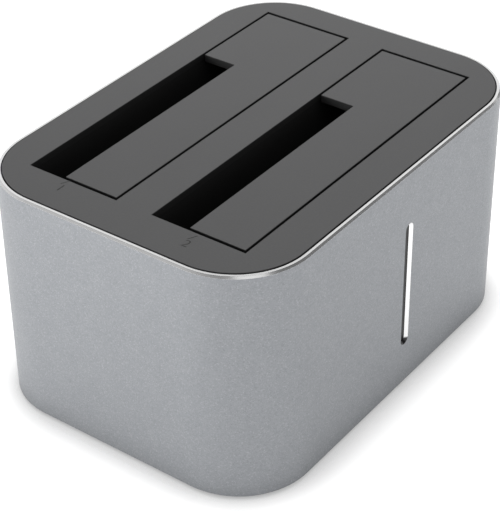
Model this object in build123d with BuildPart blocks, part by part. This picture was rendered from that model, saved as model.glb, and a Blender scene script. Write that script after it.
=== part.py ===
from build123d import *
import os

# Dual-bay hard drive docking station. Millimetres, +Z up, +X to the right along the front face,
# which looks to -Y. The origin is at the bottom centre, on the surface that the feet stand on.

# Body
body_length = 128.0
body_width = 92.4
body_height = 69.4
corner_radius = 21.4
wall = 2.2
foot_proud = 0.8
rim_land = 0.7
rim_chamfer = 0.5
hem_chamfer = 0.4

# Top cover, set into the rim of the sleeve and a little proud of it
cover_thickness = 2.0
cover_rise = 0.25
cover_gap = 0.35
cover_edge = 0.1
skirt_height = 4.0
skirt_thickness = 1.2
skirt_gap = 0.3

# Bays: each opening takes a 3.5 inch drive, and its slot takes a 2.5 inch drive
bay_end_margin = 12.2
bay_side_margin = 12.2
bay_bridge = 11.2
bay_centre_x = 1.0
bay_centre_y = 0.4
slot_end_margin = 31.5
slot_width = 11.1

# Flaps and their hinges
flap_thickness = 2.2
flap_gap = 0.7
flap_end_gap = 1.0
flap_edge = 0.1
flap_rib = 1.6
flap_recess = 0.8
flap_pocket_count = 6
hinge_drop = 4.2
hinge_play = 0.05
pin_radius = 1.0
knuckle_radius = 1.8
arm_width = 5.0
arm_end_inset = 6.0
arm_top_gap = 0.4
arm_reach = 8.5
arm_heel = 4.0
spring_wire = 0.5
spring_play = 0.3
spring_length = 8.0
spring_place = 11.0
spring_leg = 3.0

# Bay frame: two wells behind the openings, with a hinge trough in front of each
well_wall = 1.6
well_clear = 0.2
floor_gap = 0.6
well_pocket = 2.8
well_corner = 2.0
trough_depth = 6.4
trough_end_inset = 7.8
trough_drop = 13.7
saddle_play = 0.02
saddle_depth = 1.2
saddle_cap_width = 1.7
saddle_cap_play = 0.1
frame_web = 1.6
frame_web_pitch = 34.0
guide_rib = 0.35
guide_rib_width = 2.0
guide_rib_height = 20.0
guide_rib_spacing = 16.0
light_rest_pitch = 4.0

# Screws and their columns: shanks, posts and bores that nothing shows have few sides
hidden_sides = 8
underside_sides = 24
column_radius = 3.0
column_set_out = 2.4
column_foot = 12.0
column_drill = 13.0
case_screw_radius = 1.45
case_screw_head = 2.7
case_screw_head_height = 1.5
case_screw_sink = 0.3
screw_play = 0.05
screw_pass = 0.25
ear_radius = 3.0
ear_set_out = 2.7
ear_thickness = 1.8
cover_boss_radius = 2.6
cover_boss_height = 6.0
cover_screw_radius = 1.1
cover_screw_head = 2.1
cover_screw_head_height = 1.4
cover_screw_length = 6.0
drive_recess = 0.6
drive_recess_radius = 0.9
drive_recess_sides = 6

# Base plate and feet
base_thickness = 2.4
base_raise = 0.2
base_gap = 0.35
foot_radius = 5.0
foot_inset_x = 18.5
foot_inset_y = 16.5
vent_length = 22.0
vent_width = 2.0
vent_pitch = 5.0
vent_count = 7
vent_group_spacing = 44.0

# Main board and what stands on it
board_top = 15.6
board_thickness = 1.6
board_end_gap = 13.3
board_rear_gap = 2.8
board_front_gap = 6.3
board_tab_width = 10.0
standoff_radius = 2.6
standoff_end_inset = 4.5
standoff_front_inset = 5.0
standoff_rear_inset = 15.5
board_screw_radius = 1.2
board_screw_head = 2.2
board_screw_head_height = 1.4
board_screw_length = 6.0
socket_offset_x = 31.1
socket_offset_y = 4.4
socket_length = 43.8
socket_width = 5.6
socket_rise = 5.6
socket_play = 0.4
socket_edge = 0.4
tongue_width = 1.3
tongue_slot_depth = 5.0
power_key_length = 20.6
data_key_length = 10.4
power_middle_share = 0.235
data_middle_share = -0.262
key_foot = 2.4
contact_pitch = 1.27
contact_width = 0.8
contact_thickness = 0.3
contact_height = 4.4
data_contacts = 7
power_contacts = 15
chip_size = 12.0
chip_height = 1.2
chip_end_inset = 29.0
chip_socket_gap = 1.0
small_chip_length = 5.0
small_chip_width = 4.0
small_chip_height = 1.4
small_chip_pitch = 9.0
small_chip_x = 6.0
small_chip_y = -22.0
capacitor_radius = 3.15
capacitor_height = 8.0
capacitor_pitch_x = 8.5
capacitor_pitch_y = 9.0
capacitor_end_inset = 13.0
capacitor_y = 10.0
inductor_size = 6.6
inductor_height = 3.2
inductor_corner = 1.2
inductor_pitch = 9.0
inductor_end_inset = 13.0
inductor_y = -12.0

# Rear panel, inlets and buttons
panel_side_margin = 3.0
panel_height = 15.0
panel_corner = 3.0
panel_play = 0.3
panel_recess = 1.6
panel_flange = 1.7
panel_lip = 3.0
port_axis_rise = 5.4
jack_place_share = 0.385
jack_body_length = 14.0
jack_body_width = 9.0
jack_body_height = 10.8
jack_collar_radius = 4.1
jack_collar_play = 0.3
jack_collar_recess = 0.3
jack_bore_radius = 3.0
jack_bore_depth = 10.0
jack_pin_radius = 1.0
jack_pin_recess = 1.0
usb_place_share = -0.154
usb_width = 8.94
usb_height = 3.26
usb_shell = 0.3
usb_length = 8.0
usb_recess = 0.2
usb_play = 0.3
usb_tongue_width = 6.69
usb_tongue_height = 0.7
usb_tongue_recess = 0.9
usb_stem = 1.2
button_gap = 0.3
button_edge = 0.4
button_flange = 0.6
button_flange_thickness = 0.6
stem_radius = 1.4
power_place_share = 0.141
power_button_radius = 3.6
power_button_proud = 1.2
power_travel = 1.5
power_body_width = 8.0
power_body_length = 6.0
clone_place_share = -0.359
clone_button_radius = 2.4
clone_button_proud = 0.9
clone_travel = 0.8
clone_body_width = 6.0
clone_body_length = 4.0
switch_height = 10.8
stem_overrun = 0.5

# Front light slot, light guide and its board
light_slot_x = 3.2
light_slot_drop = 16.0
light_slot_width = 3.6
light_slot_bottom = 14.1
light_slot_chamfer = 0.8
light_guide_play = 0.1
light_guide_recess = 0.9
light_guide_gap = 0.1
light_flange = 1.2
light_flange_lip = 1.8
light_board_width = 7.0
light_board_thickness = 1.0
light_board_margin = 2.0
led_width = 1.6
led_height = 2.8
led_thickness = 0.7
led_count = 4
led_spacing = 9.0

# Sizes that follow the body
bay_length = body_length - 2 * bay_end_margin
bay_width = (body_width - bay_bridge - 2 * bay_side_margin) / 2
bay_pitch = bay_width + bay_bridge
slot_length = bay_length - slot_end_margin
trough_length = bay_length - 2 * trough_end_inset
arm_pitch = trough_length / 2 - arm_end_inset
column_spacing = body_width - 2 * corner_radius
ear_spacing = column_spacing / 2
light_slot_height = body_height - light_slot_drop - light_slot_bottom
board_length = body_length - 2 * (wall + board_end_gap)
board_rear = body_width / 2 - wall - board_rear_gap
board_front = body_width / 2 - wall - board_front_gap
panel_length = body_length - 2 * (corner_radius + panel_side_margin)
jack_x = jack_place_share * panel_length
usb_x = usb_place_share * panel_length
power_x = power_place_share * panel_length
clone_x = clone_place_share * panel_length

# Levels and faces that several pieces share
cover_top = body_height + cover_rise
cover_bottom = cover_top - cover_thickness
rim = rim_land + rim_chamfer
base_bottom = foot_proud + base_raise
base_top = base_bottom + base_thickness
floor_bottom = board_top + jack_body_height + floor_gap
floor_top = floor_bottom + well_wall
board_bottom = board_top - board_thickness
front_inside = wall - body_width / 2
rear_inside = body_width / 2 - wall
panel_face = body_width / 2 - panel_recess
panel_back = rear_inside - panel_flange
port_axis = board_top + port_axis_rise
usb_axis = board_top + usb_height / 2
hinge_height = cover_top - hinge_drop
bay_left = bay_centre_x - bay_length / 2
bay_right = bay_centre_x + bay_length / 2
well_left = bay_left - well_clear - well_wall
well_right = bay_right + well_clear + well_wall
light_centre = light_slot_bottom + light_slot_height / 2
flange_front = front_inside + light_guide_gap
led_front = flange_front + light_flange + light_guide_gap
light_board_front = led_front + led_thickness
light_board_back = light_board_front + light_board_thickness

# Bay 1 is the rear one and bay 2 the front one
bay_middles = {1: bay_centre_y + bay_pitch / 2, 2: bay_centre_y - bay_pitch / 2}
column_places = [(x, y) for x in (well_left - column_set_out, well_right + column_set_out)
                 for y in (-column_spacing / 2, column_spacing / 2)]
ear_places = [(x, y) for x in (well_left - ear_set_out, well_right + ear_set_out)
              for y in (-ear_spacing / 2, ear_spacing / 2)]
foot_places = [(side_x * (body_length / 2 - foot_inset_x), side_y * (body_width / 2 - foot_inset_y))
               for side_x in (-1, 1) for side_y in (-1, 1)]
standoff_places = [(side_x * (board_length / 2 - standoff_end_inset), y) for side_x in (-1, 1)
                   for y in (standoff_front_inset - board_front, board_rear - standoff_rear_inset)]


def facing_rear(y):
    """A plane across Y, with X to the right, Z up and its normal to -Y."""
    return Plane.XZ.offset(-y)


def hidden_round(radius):
    """The section of a post, a bore or a shank that stays out of sight."""
    return RegularPolygon(radius, hidden_sides)


def underside_round(radius):
    """The section of a foot, or of a screw head and its sink, under the base."""
    return RegularPolygon(radius, underside_sides)


def keep(part, name):
    """Label a finished piece and write its file."""
    part.label = name
    export_step(part, f"parts/{name}.step")
    print(name, "solids", len(part.solids()), "volume", round(part.volume, 1))


os.makedirs("parts", exist_ok=True)

# Sleeve: an extruded ring, rebated at both ends, with the light slot and the rear cut-out
with BuildPart() as sleeve:
    with BuildSketch(Plane.XY.offset(foot_proud)):
        RectangleRounded(body_length, body_width, corner_radius)
        RectangleRounded(body_length - 2 * wall, body_width - 2 * wall, corner_radius - wall,
                         mode=Mode.SUBTRACT)
    extrude(amount=body_height - foot_proud)
    for level, height in ((cover_bottom, body_height - cover_bottom), (foot_proud, base_top - foot_proud)):
        with BuildSketch(Plane.XY.offset(level)):
            RectangleRounded(body_length - 2 * rim, body_width - 2 * rim, corner_radius - rim)
        extrude(amount=height, mode=Mode.SUBTRACT)
    top_face = sleeve.faces().sort_by(Axis.Z)[-1]
    chamfer(top_face.outer_wire().edges(), rim_chamfer)
    bottom_face = sleeve.faces().sort_by(Axis.Z)[0]
    chamfer(bottom_face.outer_wire().edges(), hem_chamfer)
    with BuildSketch(Plane.XZ.offset(body_width / 2)):
        with Locations((light_slot_x, light_centre)):
            SlotOverall(light_slot_height - 2 * light_slot_chamfer,
                        light_slot_width - 2 * light_slot_chamfer, rotation=90)
    extrude(amount=-wall, mode=Mode.SUBTRACT)
    front_face = sleeve.faces().sort_by(Axis.Y)[0]
    chamfer(front_face.inner_wires()[0].edges(), light_slot_chamfer)
    with BuildSketch(facing_rear(body_width / 2)):
        with Locations((0, port_axis)):
            RectangleRounded(panel_length, panel_height, panel_corner)
    extrude(amount=wall, mode=Mode.SUBTRACT)
keep(sleeve.part, "sleeve")

# Top cover: a plate with the two bay openings, locating skirts, screw bosses and caps over the pins
cover_inset = rim + cover_gap
skirt_middle = wall + skirt_gap + skirt_thickness / 2
with BuildPart() as top_cover:
    with BuildSketch(Plane.XY.offset(cover_bottom)):
        RectangleRounded(body_length - 2 * cover_inset, body_width - 2 * cover_inset,
                         corner_radius - cover_inset)
        with Locations(*[(bay_centre_x, y) for y in bay_middles.values()]):
            Rectangle(bay_length, bay_width, mode=Mode.SUBTRACT)
    extrude(amount=cover_thickness)
    chamfer(top_cover.faces().sort_by(Axis.Z)[-1].edges(), cover_edge)
    with BuildSketch(Plane.XY.offset(cover_bottom)):
        with GridLocations(0, body_width - 2 * skirt_middle, 1, 2):
            Rectangle(body_length - 2 * corner_radius, skirt_thickness)
        with GridLocations(body_length - 2 * skirt_middle, 0, 2, 1):
            Rectangle(skirt_thickness, column_spacing)
    extrude(amount=-skirt_height)
    with BuildSketch(Plane.XY.offset(cover_bottom)):
        with Locations(*ear_places):
            hidden_round(cover_boss_radius)
    extrude(amount=-cover_boss_height)
    with BuildSketch(Plane.XY.offset(cover_bottom - cover_boss_height)):
        with Locations(*ear_places):
            hidden_round(cover_screw_radius + screw_play)
    extrude(amount=cover_screw_length, mode=Mode.SUBTRACT)
    for middle in bay_middles.values():
        hinge_y = middle - bay_width / 2 - hinge_drop
        for side in (-1, 1):
            cap_x = bay_centre_x + side * (trough_length + saddle_depth) / 2
            with BuildSketch(Plane.XY.offset(cover_bottom)):
                with Locations((cap_x, hinge_y)):
                    Rectangle(saddle_depth - 2 * saddle_cap_play, saddle_cap_width)
            extrude(amount=-(cover_bottom - hinge_height - pin_radius - saddle_play))
keep(top_cover.part, "top_cover")

# Bay frame: two wells with hinge troughs, joined at their floors and by webs, with columns and ears
well_length = bay_length + 2 * (well_clear + well_wall)
with BuildPart() as bay_frame:
    for middle in bay_middles.values():
        well_front = middle - bay_width / 2 - well_pocket - well_wall
        well_rear = middle + bay_width / 2 + well_clear + well_wall
        with BuildSketch(Plane.XY.offset(floor_bottom)):
            with Locations((bay_centre_x, (well_front + well_rear) / 2)):
                RectangleRounded(well_length, well_rear - well_front, well_corner)
        extrude(amount=cover_bottom - floor_bottom)
        trough_front = middle - bay_width / 2 - trough_depth - well_wall
        with BuildSketch(Plane.XY.offset(cover_top - trough_drop - well_wall)):
            with Locations((bay_centre_x, (trough_front + well_front + well_wall) / 2)):
                Rectangle(trough_length + 2 * well_wall, well_front + well_wall - trough_front)
        extrude(amount=trough_drop + well_wall - cover_thickness)
    with BuildSketch(Plane.XY.offset(floor_bottom)):
        with Locations((bay_centre_x, bay_centre_y)):
            Rectangle(trough_length, bay_pitch - bay_width)
    extrude(amount=well_wall)
    with BuildSketch(Plane.XY.offset(floor_bottom)):
        with Locations((bay_centre_x, bay_centre_y)):
            with GridLocations(frame_web_pitch, 0, 3, 1):
                Rectangle(frame_web, bay_pitch - bay_width)
    extrude(amount=(cover_top - trough_drop - well_wall) - floor_bottom)
    front_wall = bay_middles[2] - bay_width / 2 - well_pocket - well_wall
    with BuildSketch(Plane.XY.offset(floor_bottom)):
        with Locations((light_slot_x, (front_wall + light_board_back) / 2)):
            with GridLocations(light_rest_pitch, 0, 2, 1):
                Rectangle(frame_web, front_wall - light_board_back)
    extrude(amount=(cover_top - trough_drop - well_wall) - floor_bottom)
    with BuildSketch(Plane.XY.offset(column_foot)):
        with Locations(*column_places):
            hidden_round(column_radius)
    extrude(amount=cover_bottom - skirt_height - column_foot)
    with BuildSketch(Plane.XY.offset(cover_bottom - cover_boss_height - ear_thickness)):
        with Locations(*ear_places):
            hidden_round(ear_radius)
    extrude(amount=ear_thickness)
    for middle in bay_middles.values():
        inner_front = middle - bay_width / 2 - well_pocket
        inner_rear = middle + bay_width / 2 + well_clear
        with BuildSketch(Plane.XY.offset(floor_top)):
            with Locations((bay_centre_x, (inner_front + inner_rear) / 2)):
                Rectangle(well_length - 2 * well_wall, inner_rear - inner_front)
        extrude(amount=cover_bottom - floor_top, mode=Mode.SUBTRACT)
        trough_inner = middle - bay_width / 2 - trough_depth
        with BuildSketch(Plane.XY.offset(cover_top - trough_drop)):
            with Locations((bay_centre_x, (trough_inner + inner_front) / 2)):
                Rectangle(trough_length, inner_front - trough_inner)
        extrude(amount=trough_drop - cover_thickness, mode=Mode.SUBTRACT)
        with BuildSketch(Plane.XY.offset(floor_bottom)):
            with Locations((bay_left + socket_offset_x, middle + bay_width / 2 - socket_offset_y)):
                Rectangle(socket_length + 2 * socket_play, socket_width + 2 * socket_play)
        extrude(amount=well_wall, mode=Mode.SUBTRACT)
        with BuildSketch(Plane.XY.offset(floor_top)):
            with Locations((bay_centre_x, middle)):
                with GridLocations(well_length - 2 * well_wall - guide_rib, guide_rib_spacing, 2, 2):
                    Rectangle(guide_rib, guide_rib_width)
        extrude(amount=guide_rib_height)
        hinge_y = middle - bay_width / 2 - hinge_drop
        for start in (bay_centre_x - trough_length / 2 - saddle_depth, bay_centre_x + trough_length / 2):
            with BuildSketch(Plane.YZ.offset(start)):
                with Locations((hinge_y, hinge_height)):
                    Circle(pin_radius + saddle_play)
                with Locations((hinge_y, (hinge_height + cover_bottom) / 2)):
                    Rectangle(2 * (pin_radius + saddle_play), cover_bottom - hinge_height)
            extrude(amount=saddle_depth, mode=Mode.SUBTRACT)
    with BuildSketch(Plane.XY.offset(column_foot)):
        with Locations(*column_places):
            hidden_round(case_screw_radius + screw_play)
    extrude(amount=column_drill, mode=Mode.SUBTRACT)
    with BuildSketch(Plane.XY.offset(cover_bottom - cover_boss_height - ear_thickness)):
        with Locations(*ear_places):
            hidden_round(cover_screw_radius + screw_pass)
    extrude(amount=ear_thickness, mode=Mode.SUBTRACT)
keep(bay_frame.part, "bay_frame")

# Flaps: an L-shaped plate with arms that reach under the cover to knuckles on the hinge pin
arm_middles = [bay_centre_x + i * arm_pitch for i in (-1, 0, 1)]
for number, middle in bay_middles.items():
    flap_front = middle - bay_width / 2 + flap_gap
    flap_rear = middle + bay_width / 2 - flap_gap
    flap_left = bay_left + flap_end_gap
    flap_right = bay_right - flap_end_gap
    slot_end = bay_left + slot_length
    slot_side = middle + bay_width / 2 - slot_width
    hinge_y = middle - bay_width / 2 - hinge_drop
    with BuildPart() as flap:
        with BuildSketch(Plane.XY.offset(cover_top)):
            with BuildLine():
                Polyline((flap_left, flap_front), (flap_right, flap_front), (flap_right, flap_rear),
                         (slot_end, flap_rear), (slot_end, slot_side), (flap_left, slot_side), close=True)
            make_face()
        extrude(amount=-flap_thickness)
        chamfer(flap.faces().sort_by(Axis.Z)[-1].edges(), flap_edge)
        pocket_front = hinge_y + arm_reach + flap_rib
        pocket_width = slot_side - flap_rib - pocket_front
        pocket_pitch = (flap_right - flap_left - flap_rib) / flap_pocket_count
        with BuildSketch(Plane.XY.offset(cover_top - flap_thickness)):
            with Locations(((flap_left + flap_right) / 2, pocket_front + pocket_width / 2)):
                with GridLocations(pocket_pitch, 0, flap_pocket_count, 1):
                    Rectangle(pocket_pitch - flap_rib, pocket_width)
        extrude(amount=flap_recess, mode=Mode.SUBTRACT)
        for arm_x in arm_middles:
            with BuildSketch(Plane.YZ.offset(arm_x - arm_width / 2)):
                arm_top = cover_bottom - arm_top_gap
                plate_bottom = cover_top - flap_thickness
                knuckle_bottom = hinge_height - knuckle_radius
                with BuildLine():
                    Polyline((hinge_y, arm_top), (flap_front, arm_top),
                             (flap_front, plate_bottom), (hinge_y + arm_reach, plate_bottom),
                             (hinge_y + arm_heel, knuckle_bottom), (hinge_y, knuckle_bottom), close=True)
                make_face()
                with Locations((hinge_y, hinge_height)):
                    Circle(knuckle_radius)
                    Circle(pin_radius + hinge_play, mode=Mode.SUBTRACT)
            extrude(amount=arm_width)
    keep(flap.part, f"flap_{number}")

# Hinge pins, held at both ends in the saddles of the troughs
pin_length = trough_length + 2 * saddle_depth - 2 * saddle_play
for number, middle in bay_middles.items():
    hinge_y = middle - bay_width / 2 - hinge_drop
    with BuildPart() as hinge_pin:
        with BuildSketch(Plane.YZ.offset(bay_centre_x - pin_length / 2)):
            with Locations((hinge_y, hinge_height)):
                Circle(pin_radius)
        extrude(amount=pin_length)
    keep(hinge_pin.part, f"hinge_pin_{number}")

# Torsion springs round the pins, each with one leg down the wall of its trough
spring_inner = pin_radius + spring_play
for number, middle in bay_middles.items():
    hinge_y = middle - bay_width / 2 - hinge_drop
    with BuildPart() as flap_spring:
        with BuildSketch(Plane.YZ.offset(bay_centre_x + spring_place)):
            with Locations((hinge_y, hinge_height)):
                hidden_round(spring_inner + spring_wire)
                RegularPolygon(spring_inner, hidden_sides, mode=Mode.SUBTRACT)
        extrude(amount=spring_length)
        leg_y = hinge_y - spring_inner - spring_wire / 2
        with BuildSketch(Plane.XY.offset(hinge_height)):
            with Locations((bay_centre_x + spring_place + spring_wire / 2, leg_y)):
                Rectangle(spring_wire, spring_wire)
        extrude(amount=-spring_leg)
    keep(flap_spring.part, f"flap_spring_{number}")

# Base plate: set into the hem of the sleeve, with vents, screw bosses and standoffs
base_inset = rim + base_gap
with BuildPart() as base_plate:
    with BuildSketch(Plane.XY.offset(base_bottom)):
        RectangleRounded(body_length - 2 * base_inset, body_width - 2 * base_inset,
                         corner_radius - base_inset)
    extrude(amount=base_thickness)
    with BuildSketch(Plane.XY.offset(base_top)):
        with Locations(*column_places):
            hidden_round(column_radius)
    extrude(amount=column_foot - base_top)
    with BuildSketch(Plane.XY.offset(base_top)):
        with Locations(*standoff_places):
            hidden_round(standoff_radius)
    extrude(amount=board_bottom - base_top)
    with BuildSketch(Plane.XY.offset(base_bottom)):
        with GridLocations(vent_group_spacing, vent_pitch, 2, vent_count):
            Rectangle(vent_length, vent_width)
    extrude(amount=base_thickness, mode=Mode.SUBTRACT)
    with BuildSketch(Plane.XY.offset(base_bottom)):
        with Locations(*column_places):
            hidden_round(case_screw_radius + screw_pass)
    extrude(amount=column_foot - base_bottom, mode=Mode.SUBTRACT)
    with BuildSketch(Plane.XY.offset(base_bottom)):
        with Locations(*column_places):
            underside_round(case_screw_head + screw_pass)
    extrude(amount=case_screw_sink + case_screw_head_height, mode=Mode.SUBTRACT)
    with BuildSketch(Plane.XY.offset(board_bottom)):
        with Locations(*standoff_places):
            hidden_round(board_screw_radius + screw_play)
    extrude(amount=-board_screw_length, mode=Mode.SUBTRACT)
keep(base_plate.part, "base_plate")

# Rubber feet, glued under the base plate
for number, place in enumerate(foot_places, start=1):
    with BuildPart() as foot:
        with BuildSketch():
            with Locations(place):
                underside_round(foot_radius)
        extrude(amount=base_bottom)
    keep(foot.part, f"foot_{number}")

# Case screws, from the base plate up into the columns of the bay frame
head_bottom = base_bottom + case_screw_sink
with BuildPart() as case_screws:
    with BuildSketch(Plane.XY.offset(head_bottom)):
        with Locations(*column_places):
            underside_round(case_screw_head)
    extrude(amount=case_screw_head_height)
    with BuildSketch(Plane.XY.offset(head_bottom)):
        with Locations(*column_places):
            RegularPolygon(drive_recess_radius, drive_recess_sides)
    extrude(amount=drive_recess, mode=Mode.SUBTRACT)
    with BuildSketch(Plane.XY.offset(head_bottom + case_screw_head_height)):
        with Locations(*column_places):
            hidden_round(case_screw_radius)
    extrude(amount=column_foot + column_drill - screw_pass - head_bottom - case_screw_head_height)
keep(case_screws.part, "case_screws")

# Cover screws, from the ears of the bay frame up into the bosses of the cover
ear_bottom = cover_bottom - cover_boss_height - ear_thickness
with BuildPart() as cover_screws:
    with BuildSketch(Plane.XY.offset(ear_bottom - cover_screw_head_height)):
        with Locations(*ear_places):
            hidden_round(cover_screw_head)
    extrude(amount=cover_screw_head_height)
    with BuildSketch(Plane.XY.offset(ear_bottom)):
        with Locations(*ear_places):
            hidden_round(cover_screw_radius)
    extrude(amount=ear_thickness + cover_screw_length - screw_pass)
keep(cover_screws.part, "cover_screws")

# Main board, with a tab at the front that meets the light board
board_width = board_rear + board_front
with BuildPart() as main_board:
    with BuildSketch(Plane.XY.offset(board_bottom)):
        with Locations((0, (board_rear - board_front) / 2)):
            Rectangle(board_length, board_width)
        with Locations((light_slot_x, (light_board_back - board_front) / 2)):
            Rectangle(board_tab_width, -board_front - light_board_back)
    extrude(amount=board_thickness)
    with BuildSketch(Plane.XY.offset(board_bottom)):
        with Locations(*standoff_places):
            hidden_round(board_screw_radius + screw_pass)
    extrude(amount=board_thickness, mode=Mode.SUBTRACT)
keep(main_board.part, "main_board")

with BuildPart() as board_screws:
    with BuildSketch(Plane.XY.offset(board_top)):
        with Locations(*standoff_places):
            hidden_round(board_screw_head)
    extrude(amount=board_screw_head_height)
    with BuildSketch(Plane.XY.offset(board_top)):
        with Locations(*standoff_places):
            hidden_round(board_screw_radius)
    extrude(amount=-(board_thickness + board_screw_length - screw_pass))
keep(board_screws.part, "board_screws")

# Drive sockets: tall housings with an L-shaped slot for power and one for data
socket_top = floor_top + socket_rise
for number, middle in bay_middles.items():
    socket_x = bay_left + socket_offset_x
    socket_y = middle + bay_width / 2 - socket_offset_y
    keys = ((socket_x + power_middle_share * socket_length, power_key_length),
            (socket_x + data_middle_share * socket_length, data_key_length))
    with BuildPart() as drive_socket:
        with BuildSketch(Plane.XY.offset(board_top)):
            with Locations((socket_x, socket_y)):
                Rectangle(socket_length, socket_width)
        extrude(amount=socket_top - board_top)
        chamfer(drive_socket.faces().sort_by(Axis.Z)[-1].edges(), socket_edge)
        with BuildSketch(Plane.XY.offset(socket_top)):
            for key_x, key_length in keys:
                with Locations((key_x, socket_y)):
                    Rectangle(key_length, tongue_width)
                with Locations((key_x - (key_length - tongue_width) / 2, socket_y + key_foot / 2)):
                    Rectangle(tongue_width, key_foot)
        extrude(amount=-tongue_slot_depth, mode=Mode.SUBTRACT)
    keep(drive_socket.part, f"drive_socket_{number}")
    contact_places = []
    for key_middle, count in ((keys[0][0], power_contacts), (keys[1][0], data_contacts)):
        contact_places += [(key_middle + (i - (count - 1) / 2) * contact_pitch,
                            socket_y - tongue_width / 2 + contact_thickness / 2) for i in range(count)]
    with BuildPart() as socket_contacts:
        with BuildSketch(Plane.XY.offset(socket_top - tongue_slot_depth)):
            with Locations(*contact_places):
                Rectangle(contact_width, contact_thickness)
        extrude(amount=contact_height)
    keep(socket_contacts.part, f"socket_contacts_{number}")

# Chips, capacitors and inductors on the main board
with BuildPart() as bridge_chip:
    with BuildSketch(Plane.XY.offset(board_top)):
        front_socket_y = bay_middles[2] + bay_width / 2 - socket_offset_y
        chip_y = front_socket_y + (socket_width + chip_size) / 2 + chip_socket_gap
        with Locations((board_length / 2 - chip_end_inset, chip_y)):
            Rectangle(chip_size, chip_size)
    extrude(amount=chip_height)
    chamfer(bridge_chip.faces().sort_by(Axis.Z)[-1].edges(), cover_edge)
keep(bridge_chip.part, "bridge_chip")

with BuildPart() as memory_chips:
    with BuildSketch(Plane.XY.offset(board_top)):
        with Locations((small_chip_x, small_chip_y)):
            with GridLocations(small_chip_pitch, 0, 2, 1):
                Rectangle(small_chip_length, small_chip_width)
    extrude(amount=small_chip_height)
keep(memory_chips.part, "memory_chips")

with BuildPart() as capacitors:
    with BuildSketch(Plane.XY.offset(board_top)):
        with Locations((board_length / 2 - capacitor_end_inset, capacitor_y)):
            with GridLocations(capacitor_pitch_x, capacitor_pitch_y, 2, 2):
                hidden_round(capacitor_radius)
    extrude(amount=capacitor_height)
keep(capacitors.part, "capacitors")

inductor_x = board_length / 2 - inductor_end_inset
with BuildPart() as inductors:
    with BuildSketch(Plane.XY.offset(board_top)):
        with Locations(*[(inductor_x, inductor_y + side * inductor_pitch / 2) for side in (-1, 1)]):
            Rectangle(inductor_size, inductor_size)
    extrude(amount=inductor_height)
    chamfer(inductors.edges().filter_by(Axis.Z), inductor_corner)
keep(inductors.part, "inductors")

# Rear panel: stands on the base plate behind the cut-out, and its raised face fills the cut-out
panel_top = port_axis + panel_height / 2 + panel_lip
with BuildPart() as io_panel:
    with BuildSketch(facing_rear(rear_inside)):
        with Locations((0, (base_top + panel_top) / 2)):
            Rectangle(panel_length + 2 * panel_lip, panel_top - base_top)
    extrude(amount=panel_flange)
    with BuildSketch(facing_rear(panel_face)):
        with Locations((0, port_axis)):
            RectangleRounded(panel_length - 2 * panel_play, panel_height - 2 * panel_play,
                             panel_corner - panel_play)
    extrude(amount=panel_face - rear_inside)
    with BuildSketch(facing_rear(panel_face)):
        with Locations((jack_x, port_axis)):
            Circle(jack_collar_radius + jack_collar_play)
        with Locations((usb_x, usb_axis)):
            RectangleRounded(usb_width + 2 * usb_play, usb_height + 2 * usb_play,
                             usb_height / 2 + usb_play - usb_shell)
        with Locations((power_x, port_axis)):
            Circle(power_button_radius + button_gap)
        with Locations((clone_x, port_axis)):
            Circle(clone_button_radius + button_gap)
    extrude(amount=panel_face - panel_back, mode=Mode.SUBTRACT)
keep(io_panel.part, "io_panel")

# Power inlet: a block with a round collar in the panel, and its centre pin
jack_face = panel_back - screw_play
jack_mouth = panel_face - jack_collar_recess
with BuildPart() as dc_jack:
    with BuildSketch(Plane.XY.offset(board_top)):
        with Locations((jack_x, jack_face - jack_body_length / 2)):
            Rectangle(jack_body_width, jack_body_length)
    extrude(amount=jack_body_height)
    with BuildSketch(facing_rear(jack_mouth)):
        with Locations((jack_x, port_axis)):
            Circle(jack_collar_radius)
    extrude(amount=jack_mouth - jack_face)
    with BuildSketch(facing_rear(jack_mouth)):
        with Locations((jack_x, port_axis)):
            Circle(jack_bore_radius)
    extrude(amount=jack_bore_depth, mode=Mode.SUBTRACT)
keep(dc_jack.part, "dc_jack")

with BuildPart() as dc_jack_pin:
    with BuildSketch(facing_rear(jack_mouth - jack_pin_recess)):
        with Locations((jack_x, port_axis)):
            Circle(jack_pin_radius)
    extrude(amount=jack_bore_depth - jack_pin_recess)
keep(dc_jack_pin.part, "dc_jack_pin")

# Data inlet: a drawn steel shell with a closed back, and the tongue inside it
usb_mouth = panel_face - usb_recess
with BuildPart() as usb_port:
    with BuildSketch(facing_rear(usb_mouth)):
        with Locations((usb_x, usb_axis)):
            SlotOverall(usb_width, usb_height)
    extrude(amount=usb_length)
    with BuildSketch(facing_rear(usb_mouth)):
        with Locations((usb_x, usb_axis)):
            SlotOverall(usb_width - 2 * usb_shell, usb_height - 2 * usb_shell)
    extrude(amount=usb_length - usb_stem, mode=Mode.SUBTRACT)
keep(usb_port.part, "usb_port")

with BuildPart() as usb_tongue:
    with BuildSketch(facing_rear(usb_mouth - usb_tongue_recess)):
        with Locations((usb_x, usb_axis)):
            Rectangle(usb_tongue_width, usb_tongue_height)
    extrude(amount=usb_length - usb_stem - usb_tongue_recess)
keep(usb_tongue.part, "usb_tongue")

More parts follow.
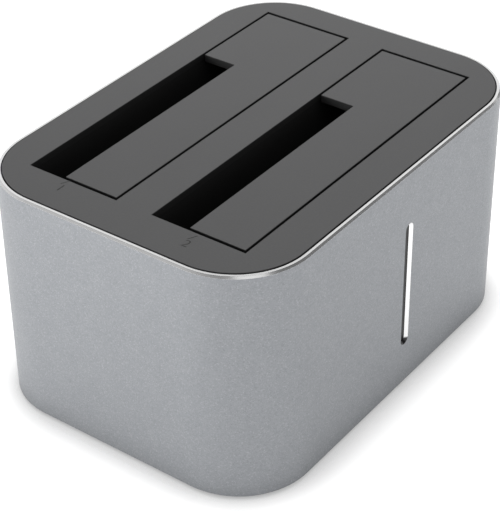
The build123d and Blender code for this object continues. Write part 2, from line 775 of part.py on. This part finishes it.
# Push buttons: a cap with a flange behind the panel and a stem, and the switch body that it enters
buttons = (("power", power_x, power_button_radius, power_button_proud, power_travel,
            power_body_width, power_body_length),
           ("clone", clone_x, clone_button_radius, clone_button_proud, clone_travel,
            clone_body_width, clone_body_length))
for name, button_x, radius, proud, travel, switch_width, switch_length in buttons:
    cap_face = panel_face + proud
    flange_face = panel_back - button_gap
    switch_face = flange_face - button_flange_thickness - travel - button_gap
    stem_end = switch_face - stem_overrun
    with BuildPart() as button:
        with BuildSketch(facing_rear(cap_face)):
            with Locations((button_x, port_axis)):
                Circle(radius)
        extrude(amount=cap_face - flange_face)
        chamfer(button.faces().sort_by(Axis.Y)[-1].edges(), button_edge)
        with BuildSketch(facing_rear(flange_face)):
            with Locations((button_x, port_axis)):
                hidden_round(radius + button_gap + button_flange)
        extrude(amount=button_flange_thickness)
        with BuildSketch(facing_rear(flange_face - button_flange_thickness)):
            with Locations((button_x, port_axis)):
                hidden_round(stem_radius)
        extrude(amount=flange_face - button_flange_thickness - stem_end)
    keep(button.part, f"{name}_button")
    with BuildPart() as switch:
        with BuildSketch(Plane.XY.offset(board_top)):
            with Locations((button_x, switch_face - switch_length / 2)):
                Rectangle(switch_width, switch_length)
        extrude(amount=switch_height)
        with BuildSketch(facing_rear(switch_face)):
            with Locations((button_x, port_axis)):
                hidden_round(stem_radius + button_gap)
        extrude(amount=stem_overrun + travel + button_gap, mode=Mode.SUBTRACT)
    keep(switch.part, f"{name}_switch")

# Light guide: a bar in the front slot with a flange behind the wall, and the board that lights it
guide_inset = light_slot_chamfer + light_guide_play
guide_width = light_slot_width - 2 * guide_inset
guide_height = light_slot_height - 2 * guide_inset
with BuildPart() as light_guide:
    with BuildSketch(facing_rear(flange_front)):
        with Locations((light_slot_x, light_centre)):
            SlotOverall(guide_height, guide_width, rotation=90)
    extrude(amount=wall + light_guide_gap - light_guide_recess)
    with BuildSketch(facing_rear(flange_front)):
        with Locations((light_slot_x, light_centre)):
            Rectangle(light_slot_width + 2 * light_flange_lip, light_slot_height + 2 * light_flange_lip)
    extrude(amount=-light_flange)
keep(light_guide.part, "light_guide")

led_levels = [light_centre + (i - (led_count - 1) / 2) * led_spacing for i in range(led_count)]
with BuildPart() as status_leds:
    with BuildSketch(facing_rear(led_front)):
        with Locations(*[(light_slot_x, level) for level in led_levels]):
            Rectangle(led_width, led_height)
    extrude(amount=-led_thickness)
keep(status_leds.part, "status_leds")

with BuildPart() as light_board:
    light_board_top = led_levels[-1] + led_height / 2 + light_board_margin
    with BuildSketch(facing_rear(light_board_front)):
        with Locations((light_slot_x, (board_bottom + light_board_top) / 2)):
            Rectangle(light_board_width, light_board_top - board_bottom)
    extrude(amount=-light_board_thickness)
keep(light_board.part, "light_board")
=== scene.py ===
from math import atan2, cos, pi, radians, sin

import bpy
from mathutils import Matrix, Vector


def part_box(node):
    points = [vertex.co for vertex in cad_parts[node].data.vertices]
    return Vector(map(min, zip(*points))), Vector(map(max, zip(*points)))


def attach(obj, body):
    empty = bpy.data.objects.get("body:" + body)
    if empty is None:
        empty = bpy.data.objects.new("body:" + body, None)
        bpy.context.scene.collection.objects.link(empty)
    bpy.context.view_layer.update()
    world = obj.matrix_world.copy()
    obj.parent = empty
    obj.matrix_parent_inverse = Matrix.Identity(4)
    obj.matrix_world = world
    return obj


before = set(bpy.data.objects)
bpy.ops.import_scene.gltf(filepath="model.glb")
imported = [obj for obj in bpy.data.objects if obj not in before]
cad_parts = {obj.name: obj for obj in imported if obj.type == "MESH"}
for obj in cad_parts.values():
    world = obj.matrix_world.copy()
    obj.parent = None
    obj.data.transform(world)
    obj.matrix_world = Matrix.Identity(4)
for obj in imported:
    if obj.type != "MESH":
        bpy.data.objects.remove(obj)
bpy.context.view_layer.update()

# Sizes are in metres, in the frame of the model: front face to -Y, +Z up
MM = 0.001
body_low, body_high = [Vector(corner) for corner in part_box("sleeve")]
guide_low, guide_high = [Vector(corner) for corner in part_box("light_guide")]
cover_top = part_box("top_cover")[1][2]

# Sleeve: its polished cuts, at the rim, the light slot and the rear opening, and the painted shade at the
# light slot's lower end
rim_chamfer = 0.5 * MM
rim_edge = 0.08 * MM
wall = 2.2 * MM
cut_edge = 0.02 * MM
slot_half_width = 1.8 * MM
slot_low = 14.1 * MM
slot_shaded_end = 1.2 * MM
slot_shade_blend = 0.5 * MM
rear_cut_half_width = 39.8 * MM
rear_cut_low = 13.2 * MM
rear_cut_high = 28.8 * MM

# Grains and tints of the surfaces
grain_size = 0.26 * MM
mottle_size = 5 * MM
cover_grain_size = 0.45 * MM
base_grain_size = 0.6 * MM
rubber_grain_size = 0.3 * MM
broad_size = 14 * MM
# More than cover_skin below its top, the cover is painted near black as shade in the gaps and slots
cover_skin = 0.12 * MM
cool_share = 1.02

# Engraved marks on the cover; a type size is type_share times its numerals' height
numeral_height = 2.9 * MM
type_share = 1.4
leader_width = 0.34 * MM
leader_steps = 6
label_lift = 0.02 * MM
label_thickness = 0.005 * MM
# Painted highlight: a lighter copy of each mark, shifted under it, stands for the light on the engraving's
# lip
painted_highlight_shift = Vector((-0.1 * MM, -0.06 * MM, -0.012 * MM))
painted_lip_highlight_tone = 0.13
engraved_tone = 0.02

# Studio: the mirrored ceiling, from the horizon up
ceiling_start = 0.04
ceiling_end = 0.4
ceiling_tone = 0.2
ceiling_shift_left = -0.62
ceiling_shift_right = 0.3
backdrop_strength = 0.8
floor_half_width = 4.0
floor_tone = 0.95
floor_glow = 0.52
# Painted contact shadow: the floor's colour and glow darken with ambient occlusion near the object
painted_contact_shadow_reach = 11 * MM
painted_contact_shadow_tone = 0.55
painted_contact_shadow_openness = 0.5
lamp_target = Vector((0, 0, 0.03))


class Shader:
    """A small helper that adds and links nodes of one material or world."""

    def __init__(self, holder):
        holder.use_nodes = True
        self.tree = holder.node_tree
        self.tree.nodes.clear()

    def add(self, kind, inputs=None, **settings):
        node = self.tree.nodes.new(kind)
        for key, value in settings.items():
            setattr(node, key, value)
        for key, value in (inputs or {}).items():
            if isinstance(value, bpy.types.NodeSocket):
                self.tree.links.new(value, node.inputs[key])
            else:
                node.inputs[key].default_value = value
        return node

    def math(self, operation, first, second=0.0):
        return self.add("ShaderNodeMath", {0: first, 1: second}, operation=operation).outputs[0]

    def mix(self, factor, low, high):
        """Mix two colours, or two numbers given as greys."""
        node = self.add("ShaderNodeMix", {0: factor, 6: low, 7: high}, data_type="RGBA")
        return node.outputs[2]

    def place(self):
        return self.add("ShaderNodeTexCoord").outputs["Object"]

    def axes(self):
        return self.add("ShaderNodeSeparateXYZ", {0: self.place()}).outputs

    def noise(self, size, detail=2.0, roughness=0.5, place=None):
        node = self.add("ShaderNodeTexNoise", {"Vector": place or self.place(), "Scale": 1.0 / size,
                                               "Detail": detail, "Roughness": roughness})
        return node.outputs["Fac"]

    def cells(self, size):
        """A random grey from 0 to 1 for each grain of the given size."""
        node = self.add("ShaderNodeTexVoronoi", {"Vector": self.place(), "Scale": 1.0 / size})
        return self.add("ShaderNodeSeparateColor", {0: node.outputs["Color"]}).outputs[0]

    def spread(self, value, at_zero, at_one):
        """Map 0 to 1 onto at_zero to at_one."""
        return self.ramp(value, 0.0, 1.0, at_zero, at_one)

    def ramp(self, value, start, end, at_start, at_end):
        """Map start to end onto at_start to at_end, and hold the ends beyond."""
        node = self.add("ShaderNodeMapRange", {"Value": value, "From Min": start, "From Max": end,
                                               "To Min": at_start, "To Max": at_end})
        return node.outputs[0]

    def bump(self, height, depth, strength):
        node = self.add("ShaderNodeBump", {"Strength": strength, "Distance": depth, "Height": height})
        return node.outputs[0]

    def within(self, value, low, high):
        """One where value lies between low and high, else zero."""
        above = self.math("GREATER_THAN", value, low)
        below = self.math("LESS_THAN", value, high)
        return self.math("MULTIPLY", above, below)

    def seen(self):
        """One for the rays that see the backdrop: from the camera, reflected or refracted."""
        path = self.add("ShaderNodeLightPath").outputs
        either = self.math("MAXIMUM", path["Is Camera Ray"], path["Is Glossy Ray"])
        return self.math("MAXIMUM", either, path["Is Transmission Ray"])

    def surface(self, **inputs):
        node = self.add("ShaderNodeBsdfPrincipled",
                        {key.replace("_", " "): value for key, value in inputs.items()})
        self.add("ShaderNodeOutputMaterial", {"Surface": node.outputs[0]})


def grey(value):
    return (value, value, value, 1.0)


def tinted(value, red, green, blue):
    return (value * red, value * green, value * blue, 1.0)


def anodised_aluminium():
    """Bead-blasted silver with a fine sparkling grain, the polished cuts of rim, slot and rear, and painted
    shade at the slot's lower end.
    """
    blasted_red, blasted_green, blasted_blue = 0.256, 0.265, 0.278
    chamfer_tone, land_tone = 0.62, 0.5
    rear_cut_tone, slot_cut_tone, slot_end_painted_shade_tone = 0.9, 0.8, 0.05
    chamfer_roughness, polished_roughness = 0.25, 0.16
    bright_power, dark_power = 9.0, 4.0
    bright_tones, dark_tones, mottle_tones = (-0.006, 0.056), (0.006, -0.028), (-0.012, 0.012)
    roughness_grain_size = 1.3 * grain_size
    roughness_range = (0.44, 0.54)
    material = bpy.data.materials.new("anodised_aluminium")
    shader = Shader(material)
    x, y, z = shader.axes()
    chamfer = shader.math("GREATER_THAN", z, body_high.z - rim_chamfer - cut_edge)
    land = shader.math("GREATER_THAN", z, body_high.z - rim_edge)
    slot_middle = (guide_low.x + guide_high.x) / 2
    slot_reach = slot_half_width + cut_edge
    in_slot = shader.math("MULTIPLY", shader.within(x, slot_middle - slot_reach, slot_middle + slot_reach),
                          shader.within(y, body_low.y + cut_edge, body_low.y + wall - cut_edge))
    in_rear = shader.math("MULTIPLY", shader.within(x, -rear_cut_half_width, rear_cut_half_width),
                          shader.within(z, rear_cut_low, rear_cut_high))
    in_rear = shader.math("MULTIPLY", in_rear, shader.within(y, body_high.y - wall, body_high.y - cut_edge))
    # Painted shade: the light slot's lower end is painted dark and blends up into the slot's polished cut;
    # lit is one above the painted shade
    end_top = slot_low + slot_shaded_end
    lit = shader.ramp(z, end_top, end_top + slot_shade_blend, 0.0, 1.0)
    cut = shader.math("MAXIMUM", in_slot, in_rear)
    polished = shader.math("MAXIMUM", land, cut)

    speck = shader.cells(grain_size)
    bright = shader.math("POWER", speck, bright_power)
    dark = shader.math("POWER", shader.math("SUBTRACT", 1.0, speck), dark_power)
    mottle = shader.noise(mottle_size, detail=3.0)
    tone = shader.math("ADD", shader.spread(bright, *bright_tones), shader.spread(dark, *dark_tones))
    tone = shader.math("ADD", tone, shader.spread(mottle, *mottle_tones))
    blasted = shader.add("ShaderNodeCombineColor", {
        0: shader.math("ADD", blasted_red, tone), 1: shader.math("ADD", blasted_green, tone),
        2: shader.math("ADD", blasted_blue, tone)}).outputs[0]
    colour = shader.mix(chamfer, blasted, grey(chamfer_tone))
    slot_colour = shader.mix(lit, grey(slot_end_painted_shade_tone), grey(slot_cut_tone))
    colour = shader.mix(cut, colour, shader.mix(in_slot, grey(rear_cut_tone), slot_colour))
    colour = shader.mix(land, colour, grey(land_tone))
    blasted_roughness = shader.spread(shader.cells(roughness_grain_size), *roughness_range)
    roughness = shader.mix(chamfer, blasted_roughness, grey(chamfer_roughness))
    roughness = shader.mix(polished, roughness, grey(polished_roughness))
    grain = shader.noise(grain_size, detail=1.0)
    height = shader.math("MULTIPLY", grain, shader.math("SUBTRACT", 1.0, chamfer))
    shader.surface(Base_Color=colour, Metallic=1.0, Roughness=roughness,
                   Normal=shader.bump(height, depth=0.035 * MM, strength=0.25))
    return material


def grained_cover():
    """Matte grey grain on top; its sides in the gaps and slots are black plastic painted near black as
    shade.
    """
    gap_painted_shade_tone, top_tone = 0.006, 0.069
    fine_share, broad_share = (0.78, 1.22), (-0.04, 0.04)
    material = bpy.data.materials.new("cover_plastic")
    shader = Shader(material)
    z = shader.axes()[2]
    fine = shader.noise(cover_grain_size, roughness=0.6)
    broad = shader.noise(broad_size, detail=3.0)
    share = shader.math("ADD", shader.spread(fine, *fine_share), shader.spread(broad, *broad_share))
    # Painted shade: below cover_skin from the top, the cover's sides in the gaps and slots fade to near
    # black
    top = shader.ramp(z, cover_top - cover_skin, cover_top - cut_edge, gap_painted_shade_tone, top_tone)
    tone = shader.math("MULTIPLY", share, top)
    colour = shader.add("ShaderNodeCombineColor", {
        0: tone, 1: tone, 2: shader.math("MULTIPLY", tone, cool_share)}).outputs[0]
    shader.surface(Base_Color=colour, Roughness=shader.spread(fine, 0.48, 0.6),
                   Normal=shader.bump(fine, depth=0.03 * MM, strength=0.5))
    return material


def moulded_plastic(name, tone, roughness, grain=cover_grain_size, depth=0.02 * MM):
    """Moulded plastic with a fine eroded grain."""
    fine_share, broad_share = (0.93, 1.07), (-0.03, 0.03)
    material = bpy.data.materials.new(name)
    shader = Shader(material)
    fine = shader.noise(grain, roughness=0.6)
    broad = shader.noise(broad_size, detail=3.0)
    share = shader.math("ADD", shader.spread(fine, *fine_share), shader.spread(broad, *broad_share))
    colour = shader.add("ShaderNodeCombineColor", {
        0: shader.math("MULTIPLY", share, tone), 1: shader.math("MULTIPLY", share, tone),
        2: shader.math("MULTIPLY", share, tone * cool_share)}).outputs[0]
    shader.surface(Base_Color=colour, Roughness=shader.spread(fine, *roughness),
                   Normal=shader.bump(fine, depth, strength=0.5))
    return material


def drawn_metal(name, tone, roughness=(0.25, 0.4), tint=(1.0, 1.0, 1.0), stretch=(1.0, 12.0, 12.0)):
    """Metal with fine marks along its length."""
    mark_size = 2 * MM
    mark_share = (0.88, 1.08)
    material = bpy.data.materials.new(name)
    shader = Shader(material)
    mapping = shader.add("ShaderNodeMapping", {"Vector": shader.place(), "Scale": stretch})
    marks = shader.noise(mark_size, detail=3.0, roughness=0.6, place=mapping.outputs[0])
    share = shader.spread(marks, *mark_share)
    colour = shader.add("ShaderNodeCombineColor", {
        i: shader.math("MULTIPLY", share, tone * tint[i]) for i in range(3)}).outputs[0]
    shader.surface(Base_Color=colour, Metallic=1.0, Roughness=shader.spread(marks, *roughness),
                   Normal=shader.bump(marks, depth=0.01 * MM, strength=0.4))
    return material


def smoked_plastic():
    """Dark, faintly clouded light guide."""
    flow_size = 3 * MM
    material = bpy.data.materials.new("smoked_plastic")
    shader = Shader(material)
    flow = shader.noise(flow_size)
    colour = shader.mix(flow, grey(0.007), tinted(0.013, red=1.0, green=1.02, blue=1.06))
    shader.surface(Base_Color=colour, Roughness=shader.spread(flow, 0.3, 0.38), Specular_IOR_Level=0.15,
                   Normal=shader.bump(flow, depth=0.005 * MM, strength=0.3))
    return material


def circuit_board():
    """Green solder mask over faint copper runs."""
    speckle_size = 0.5 * MM
    material = bpy.data.materials.new("circuit_board")
    shader = Shader(material)
    mapping = shader.add("ShaderNodeMapping", {"Vector": shader.place(), "Scale": (1.0, 1.0, 0.0)})
    runs = shader.add("ShaderNodeTexBrick", {
        "Vector": mapping.outputs[0], "Scale": 160.0, "Mortar Size": 0.12, "Brick Width": 1.6,
        "Row Height": 0.3, "Color1": (0.004, 0.055, 0.03, 1), "Color2": (0.006, 0.07, 0.036, 1),
        "Mortar": (0.012, 0.13, 0.06, 1)})
    speckle = shader.noise(speckle_size)
    shader.surface(Base_Color=runs.outputs["Color"], Roughness=shader.spread(speckle, 0.3, 0.42),
                   Normal=shader.bump(runs.outputs["Fac"], depth=0.03 * MM, strength=0.5))
    return material


def rubber():
    """Dull black rubber with a fine tooth."""
    material = bpy.data.materials.new("foot_rubber")
    shader = Shader(material)
    fine = shader.noise(rubber_grain_size, detail=3.0)
    colour = shader.mix(fine, grey(0.014), grey(0.03))
    shader.surface(Base_Color=colour, Roughness=shader.spread(fine, 0.75, 0.9),
                   Normal=shader.bump(fine, depth=0.03 * MM, strength=0.5))
    return material


def led_resin():
    """Faintly clouded, warm white resin."""
    cloud_size = 0.6 * MM
    material = bpy.data.materials.new("led_resin")
    shader = Shader(material)
    cloud = shader.noise(cloud_size)
    colour = shader.mix(cloud, tinted(0.75, red=1.0, green=0.98, blue=0.85),
                        tinted(0.85, red=1.0, green=0.99, blue=0.9))
    shader.surface(Base_Color=colour, Roughness=shader.spread(cloud, 0.2, 0.35))
    return material


def label_ink(name, tone):
    """The floor of an engraved mark, or the painted highlight on its lip, in two close greys."""
    darker, lighter = 0.92, 1.08
    material = bpy.data.materials.new(name)
    shader = Shader(material)
    fine = shader.noise(cover_grain_size, roughness=0.6)
    colour = shader.mix(fine, grey(tone * darker), grey(tone * lighter))
    shader.surface(Base_Color=colour, Roughness=shader.spread(fine, 0.55, 0.65))
    return material


def finish_nodes():
    """Give every carried-over piece its material."""
    cover = grained_cover()
    well = moulded_plastic("well_plastic", tone=0.004, roughness=(0.6, 0.7))
    base = moulded_plastic("base_plastic", tone=0.03, roughness=(0.55, 0.7), grain=base_grain_size,
                           depth=0.04 * MM)
    panel = moulded_plastic("panel_plastic", tone=0.028, roughness=(0.5, 0.62))
    button = moulded_plastic("button_plastic", tone=0.075, roughness=(0.35, 0.45))
    socket = moulded_plastic("socket_plastic", tone=0.014, roughness=(0.35, 0.5), depth=0.01 * MM)
    chip = moulded_plastic("chip_plastic", tone=0.028, roughness=(0.45, 0.55))
    ferrite = moulded_plastic("ferrite", tone=0.09, roughness=(0.6, 0.75))
    steel = drawn_metal("zinc_steel", tone=0.6)
    spring = drawn_metal("spring_steel", tone=0.5, roughness=(0.2, 0.35), stretch=(12.0, 1.0, 1.0))
    can = drawn_metal("can_aluminium", tone=0.7, roughness=(0.2, 0.3))
    port = drawn_metal("port_steel", tone=0.62, roughness=(0.18, 0.3), stretch=(12.0, 1.0, 12.0))
    gold = drawn_metal("contact_gold", tone=0.8, roughness=(0.15, 0.25), tint=(1.0, 0.76, 0.34))
    board = circuit_board()
    finishes = {
        "sleeve": anodised_aluminium(), "top_cover": cover, "flap_1": cover, "flap_2": cover,
        "bay_frame": well, "base_plate": base, "io_panel": panel, "power_button": button,
        "clone_button": button, "drive_socket_1": socket, "drive_socket_2": socket, "dc_jack": socket,
        "usb_tongue": socket, "power_switch": socket, "clone_switch": socket, "bridge_chip": chip,
        "memory_chips": chip, "inductors": ferrite, "case_screws": steel, "cover_screws": steel,
        "board_screws": steel, "hinge_pin_1": steel, "hinge_pin_2": steel, "flap_spring_1": spring,
        "flap_spring_2": spring, "capacitors": can, "usb_port": port, "dc_jack_pin": port,
        "socket_contacts_1": gold, "socket_contacts_2": gold, "main_board": board, "light_board": board,
        "light_guide": smoked_plastic(), "status_leds": led_resin(),
    }
    feet = rubber()
    for name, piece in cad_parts.items():
        material = feet if name.startswith("foot_") else finishes[name]
        for holder in piece.material_slots:
            holder.material = material


def on_cover(x, y):
    """A place on the cover, from millimetres."""
    return Vector((x * MM, y * MM, cover_top))


def numeral(name, number):
    """A numeral whose top points to the bays, so that it reads from the left side."""
    curve = bpy.data.curves.new(name, "FONT")
    curve.body = str(number)
    curve.size = numeral_height * type_share
    curve.align_x = "CENTER"
    curve.align_y = "CENTER"
    return curve


def leader(name, length):
    """A short stroke with round ends, along its own X."""
    curve = bpy.data.curves.new(name, "CURVE")
    curve.dimensions = "2D"
    curve.fill_mode = "BOTH"
    outline = []
    for end, first in ((length / 2, -pi / 2), (-length / 2, pi / 2)):
        for step in range(leader_steps + 1):
            angle = first + pi * step / leader_steps
            outline.append((end + leader_width / 2 * cos(angle), leader_width / 2 * sin(angle)))
    stroke = curve.splines.new("POLY")
    stroke.points.add(len(outline) - 1)
    for point, (x, y) in zip(stroke.points, outline):
        point.co = (x, y, 0, 1)
    stroke.use_cyclic_u = True
    return curve


def engrave(name, make, place, turn):
    """Lay a mark on the cover: a painted highlight for the engraving's lit lip, and its dark floor over
    that.
    """
    for part, tone, shift in (("lip", painted_lip_highlight_tone, painted_highlight_shift), ("floor", engraved_tone, Vector((0, 0, 0)))):
        curve = make(f"{name}_{part}")
        curve.extrude = label_thickness
        piece = bpy.data.objects.new(f"{name}_{part}", curve)
        bpy.context.scene.collection.objects.link(piece)
        piece.location = place + shift + Vector((0, 0, label_lift))
        piece.rotation_euler = (0, 0, turn)
        curve.materials.append(label_ink(f"{name}_{part}", tone))
        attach(piece, "base")


def bay_label(number, place, leader_start, leader_end):
    """An engraved numeral, with a short leader from it towards its bay."""
    engrave(f"bay_{number}_numeral", lambda name: numeral(name, number), place, -pi / 2)
    run = leader_end - leader_start
    engrave(f"bay_{number}_leader", lambda name: leader(name, run.length), (leader_start + leader_end) / 2,
            atan2(run.y, run.x))


def floor():
    """A pale floor that shows white to the camera and in reflections, keeps the object's shadow, and carries
    a painted contact shadow near the object.
    """
    half = floor_half_width
    mesh = bpy.data.meshes.new("floor")
    mesh.from_pydata([(-half, -half, 0), (half, -half, 0), (half, half, 0), (-half, half, 0)], [],
                     [(0, 1, 2, 3)])
    piece = bpy.data.objects.new("floor", mesh)
    bpy.context.scene.collection.objects.link(piece)
    material = bpy.data.materials.new("floor")
    shader = Shader(material)
    # Painted contact shadow: ambient occlusion darkens the floor's colour and glow near the object
    openness = shader.add("ShaderNodeAmbientOcclusion", {"Distance": painted_contact_shadow_reach}, samples=8).outputs["AO"]
    shade = shader.ramp(openness, painted_contact_shadow_openness, 1.0, painted_contact_shadow_tone, 1.0)
    matte = shader.add("ShaderNodeBsdfDiffuse", {"Color": shader.mix(shade, grey(0.0), grey(floor_tone))})
    strength = shader.math("MULTIPLY", shader.math("MULTIPLY", shader.seen(), floor_glow), shade)
    glow = shader.add("ShaderNodeEmission", {"Color": grey(1.0), "Strength": strength})
    total = shader.add("ShaderNodeAddShader", {0: matte.outputs[0], 1: glow.outputs[0]})
    shader.add("ShaderNodeOutputMaterial", {"Surface": total.outputs[0]})
    mesh.materials.append(material)


def studio_world():
    """A white backdrop all round, under a greyer ceiling that comes lower on the right."""
    world = bpy.data.worlds.new("studio")
    bpy.context.scene.world = world
    shader = Shader(world)
    direction = shader.add("ShaderNodeTexCoord").outputs["Generated"]
    across, _, height = shader.add("ShaderNodeSeparateXYZ", {0: direction}).outputs
    shift = shader.ramp(across, -1.0, 1.0, ceiling_shift_left, ceiling_shift_right)
    mirrored = shader.ramp(shader.math("ADD", height, shift), ceiling_start, ceiling_end, 1.0, ceiling_tone)
    camera_ray = shader.add("ShaderNodeLightPath").outputs["Is Camera Ray"]
    shown = shader.math("MAXIMUM", mirrored, camera_ray)
    strength = shader.add("ShaderNodeMix", {"Factor": shader.seen(), 2: backdrop_strength,
                                            3: shown}).outputs[0]
    backdrop = shader.add("ShaderNodeBackground", {"Color": grey(1.0), "Strength": strength})
    shader.add("ShaderNodeOutputWorld", {"Surface": backdrop.outputs[0]})


def softbox(name, direction, distance, size, radiance):
    """A rectangular lamp that lies in the given direction and faces the object."""
    light = bpy.data.lights.new(name, "AREA")
    light.shape = "RECTANGLE"
    light.size, light.size_y = size
    light.energy = radiance * light.size * light.size_y * pi
    lamp = bpy.data.objects.new(name, light)
    bpy.context.scene.collection.objects.link(lamp)
    towards = Vector(direction).normalized()
    lamp.location = lamp_target + distance * towards
    lamp.rotation_euler = (-towards).to_track_quat("-Z", "Y").to_euler()


def photo_camera():
    """The photograph's view: from above and from the front left corner."""
    place = Vector((-0.3232, -0.2378, 0.3066))
    heading = radians(53.32)
    tilt = radians(34.95)
    roll = radians(-0.77)
    focal_pixels = 1760.8
    frame_pixels = 513.0
    sensor = 36.0
    nearest = 0.01
    data = bpy.data.cameras.new("photo_camera")
    data.sensor_width = sensor
    data.lens = focal_pixels * sensor / frame_pixels
    data.clip_start = nearest
    camera = bpy.data.objects.new("photo_camera", data)
    bpy.context.scene.collection.objects.link(camera)
    camera.matrix_world = (Matrix.Translation(place) @ Matrix.Rotation(-heading, 4, "Z")
                           @ Matrix.Rotation(pi / 2 - tilt, 4, "X") @ Matrix.Rotation(roll, 4, "Z"))
    bpy.context.scene.camera = camera


finish_nodes()
bay_label(1, place=on_cover(-54.7, 20.9), leader_start=on_cover(-53.0, 22.1),
          leader_end=on_cover(-51.2, 21.2))
bay_label(2, place=on_cover(-55.9, -19.8), leader_start=on_cover(-54.0, -18.9),
          leader_end=on_cover(-51.8, -20.0))
floor()
studio_world()
softbox("back_box", direction=(0.68, 0.49, 0.5), distance=0.42, size=(0.4, 0.25), radiance=1.3)
softbox("front_box", direction=(-0.315, -0.499, 0.808), distance=1.6, size=(0.9, 0.9), radiance=1.0)
softbox("left_box", direction=(-0.81, 0.585, 0.12), distance=1.4, size=(0.9, 0.5), radiance=10.0)
softbox("right_box", direction=(0.81, -0.585, 0.12), distance=1.4, size=(0.9, 0.5), radiance=1.1)
photo_camera()
bpy.context.scene.view_settings.view_transform = "Standard"
